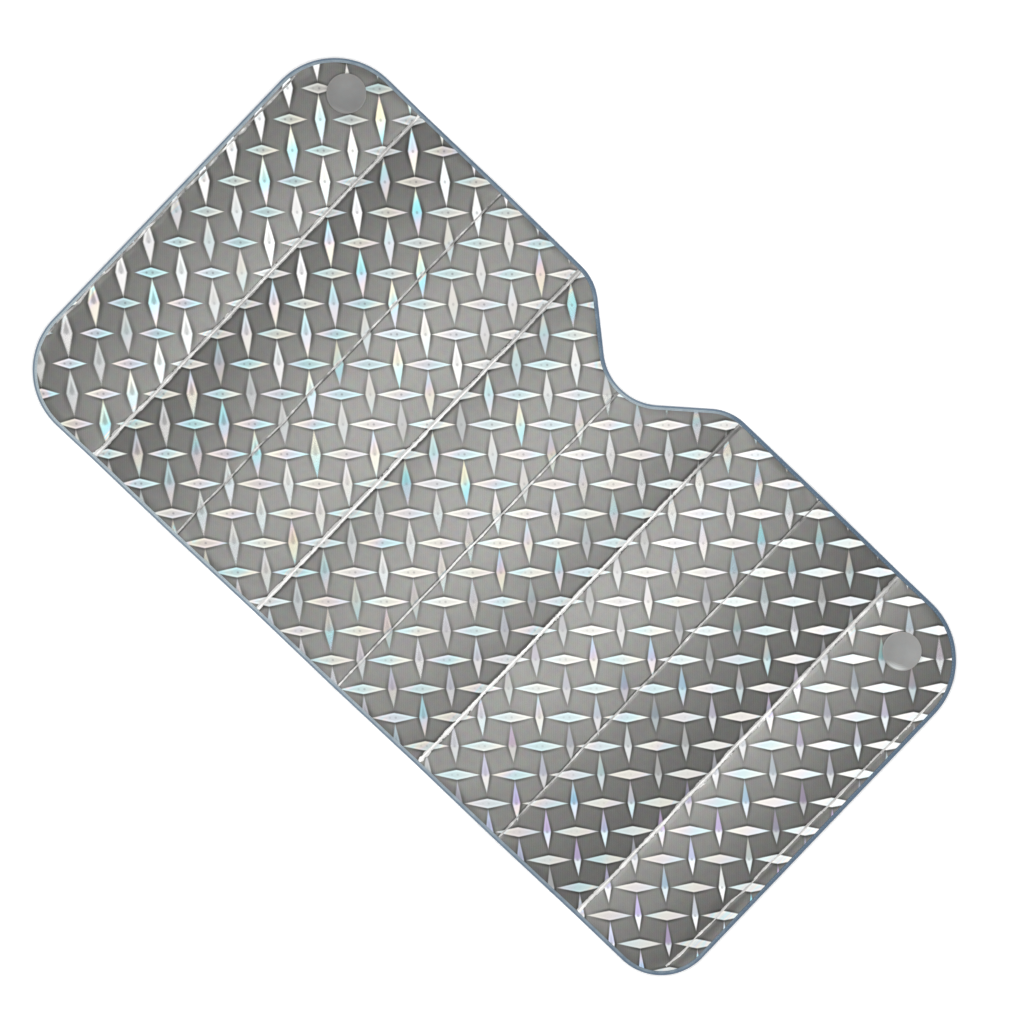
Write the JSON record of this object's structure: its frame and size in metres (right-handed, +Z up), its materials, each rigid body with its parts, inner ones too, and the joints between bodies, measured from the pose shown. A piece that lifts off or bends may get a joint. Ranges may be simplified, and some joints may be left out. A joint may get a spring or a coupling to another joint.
{
  "type": "folding foam pad",
  "caption": "Foil-faced foam accordion pad, a windscreen sunshade, with a mirror notch, bound edge and swivelling suction cups; folds into a flat stack.",
  "frame": {"origin": "on the floor, under the middle fold, at half the pad's height", "axes": "+X along the pad's length to the right of its front face, +Y along the folds towards the mirror notch, +Z up, out of the front face"},
  "size_m": [1.3404, 0.7, 0.0206],
  "materials": {
    "foam": "closed-cell foam, matt, fine cells",
    "front_foil": "metallised film, satin grey, embossed with bright light-splitting diamonds in a woven pattern",
    "back_film": "plain silver film, satin, lightly creased",
    "edge_binding": "woven tape, satin, stitched along its inner edge",
    "fold_crease": "film pressed flat and welded, bright",
    "eyelet_metal": "plated, polished",
    "suction_cup": "soft clear-grey plastic, glossy"
  },
  "bodies": {
    "panel_1": {"foam_core_1": "foam", "front_foil_1": "front_foil", "back_film_1": "back_film", "edge_binding_1": "edge_binding", "fold_crease_1": "fold_crease", "eyelet_left": "eyelet_metal", "eyelet_washer_left": "eyelet_metal"},
    "panel_2": {"foam_core_2": "foam", "front_foil_2": "front_foil", "back_film_2": "back_film", "edge_binding_2": "edge_binding", "fold_crease_2": "fold_crease"},
    "panel_3": {"foam_core_3": "foam", "front_foil_3": "front_foil", "back_film_3": "back_film", "edge_binding_3": "edge_binding", "fold_crease_3": "fold_crease"},
    "panel_4": {"foam_core_4": "foam", "front_foil_4": "front_foil", "back_film_4": "back_film", "edge_binding_4": "edge_binding", "fold_crease_4": "fold_crease"},
    "panel_5": {"foam_core_5": "foam", "front_foil_5": "front_foil", "back_film_5": "back_film", "edge_binding_5": "edge_binding", "fold_crease_5": "fold_crease"},
    "panel_6": {"foam_core_6": "foam", "front_foil_6": "front_foil", "back_film_6": "back_film", "edge_binding_6": "edge_binding", "fold_crease_6": "fold_crease"},
    "panel_7": {"foam_core_7": "foam", "front_foil_7": "front_foil", "back_film_7": "back_film", "edge_binding_7": "edge_binding", "fold_crease_7": "fold_crease"},
    "panel_8": {"foam_core_8": "foam", "front_foil_8": "front_foil", "back_film_8": "back_film", "edge_binding_8": "edge_binding", "eyelet_right": "eyelet_metal", "eyelet_washer_right": "eyelet_metal"},
    "cup_left": {"suction_cup_left": "suction_cup"},
    "cup_right": {"suction_cup_right": "suction_cup"}
  },
  "joints": [
    {"name": "fold_1", "type": "hinge", "parent": "panel_1", "child": "panel_2", "pos_m": [-0.48918, 0, 0.00515], "axis": [0, -1, 0], "range_deg": [-5.65, 164]},
    {"name": "fold_2", "type": "hinge", "parent": "panel_2", "child": "panel_3", "pos_m": [-0.32612, 0, 0.00829], "axis": [0, 1, 0], "range_deg": [-6, 174]},
    {"name": "fold_3", "type": "hinge", "parent": "panel_3", "child": "panel_4", "pos_m": [-0.16306, 0, 0.00515], "axis": [0, -1, 0], "range_deg": [-6, 174]},
    {"name": "fold_4", "type": "hinge", "parent": "panel_4", "child": "panel_5", "pos_m": [0, 0, 0.00829], "axis": [0, 1, 0], "range_deg": [-6, 174]},
    {"name": "fold_5", "type": "hinge", "parent": "panel_5", "child": "panel_6", "pos_m": [0.16306, 0, 0.00515], "axis": [0, -1, 0], "range_deg": [-6, 174]},
    {"name": "fold_6", "type": "hinge", "parent": "panel_6", "child": "panel_7", "pos_m": [0.32612, 0, 0.00829], "axis": [0, 1, 0], "range_deg": [-6, 174]},
    {"name": "fold_7", "type": "hinge", "parent": "panel_7", "child": "panel_8", "pos_m": [0.48918, 0, 0.00515], "axis": [0, -1, 0], "range_deg": [-5.65, 164]},
    {"name": "cup_left_swivel", "type": "hinge", "parent": "panel_1", "child": "cup_left", "pos_m": [-0.58758, 0.292, 0.01912], "axis": [0.0523, 0, 0.9986], "continuous": true},
    {"name": "cup_right_swivel", "type": "hinge", "parent": "panel_8", "child": "cup_right", "pos_m": [0.56861, 0.267, 0.01813], "axis": [-0.0523, 0, 0.9986], "continuous": true}
  ],
  "couplings": [
    {"joint": "fold_2", "follows": "fold_1", "ratio": 1.061},
    {"joint": "fold_3", "follows": "fold_1", "ratio": 1.061},
    {"joint": "fold_4", "follows": "fold_1", "ratio": 1.061},
    {"joint": "fold_5", "follows": "fold_1", "ratio": 1.061},
    {"joint": "fold_6", "follows": "fold_1", "ratio": 1.061},
    {"joint": "fold_7", "follows": "fold_1", "ratio": 1}
  ]
}
